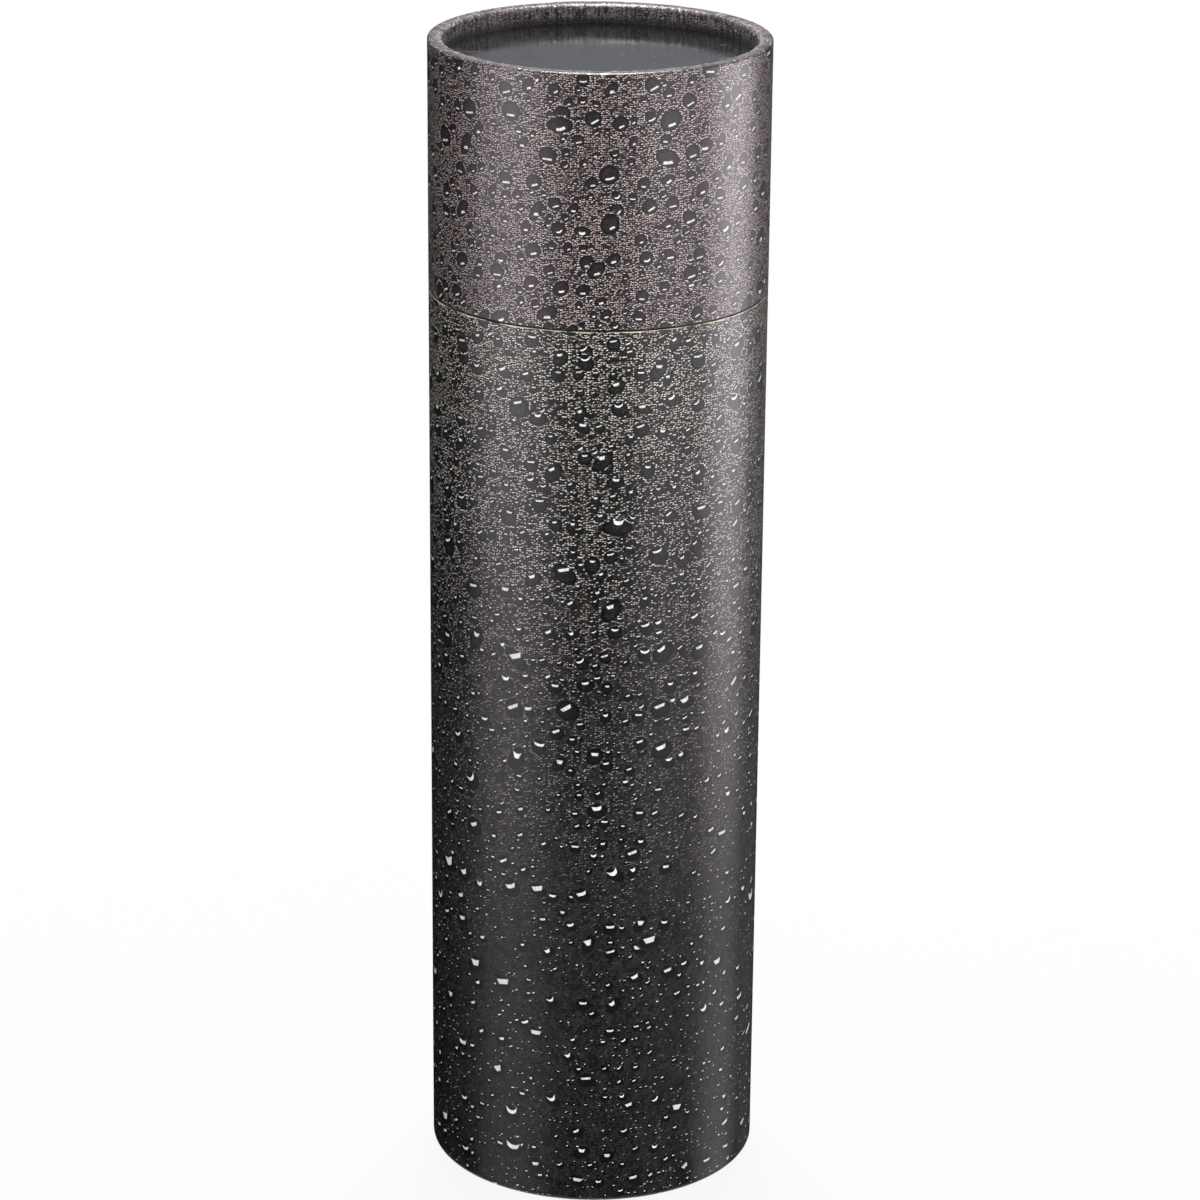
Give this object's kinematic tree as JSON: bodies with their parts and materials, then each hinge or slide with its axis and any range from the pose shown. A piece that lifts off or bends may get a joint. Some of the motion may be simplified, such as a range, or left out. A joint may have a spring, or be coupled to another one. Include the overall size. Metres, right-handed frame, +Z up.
{
  "type": "cylindrical gift tube box",
  "caption": "Tall round paperboard tube box with a lift-off lid of the same diameter, rolled rims, recessed end discs and an inner neck that the lid slides over.",
  "frame": {"origin": "centre of the flat ring that the tube stands on, on the tube's axis", "axes": "+Z up along the tube's axis, from the base towards the lid; X and Y are free, as the tube is round"},
  "size_m": [0.095, 0.095, 0.3325],
  "materials": {
    "lid_print": "satin",
    "base_print": "satin",
    "black_facing": "gloss",
    "neck_paper": "matte",
    "lining_paper": "matte",
    "greyboard": "matte"
  },
  "bodies": {
    "base": {"base_tube": "greyboard", "base_wrap": "base_print", "base_disc_facing": "black_facing", "base_disc": "greyboard", "base_disc_lining": "lining_paper", "neck_cover": "neck_paper", "neck_tube": "greyboard", "neck_liner": "lining_paper"},
    "lid": {"lid_tube": "greyboard", "lid_wrap": "lid_print", "lid_liner": "lining_paper", "lid_disc_facing": "black_facing", "lid_disc": "greyboard", "lid_disc_lining": "lining_paper"}
  },
  "joints": [
    {"name": "lid_lift", "type": "slide", "parent": "base", "child": "lid", "axis": [0, 0, 1], "range_m": [0, 0.12]}
  ]
}
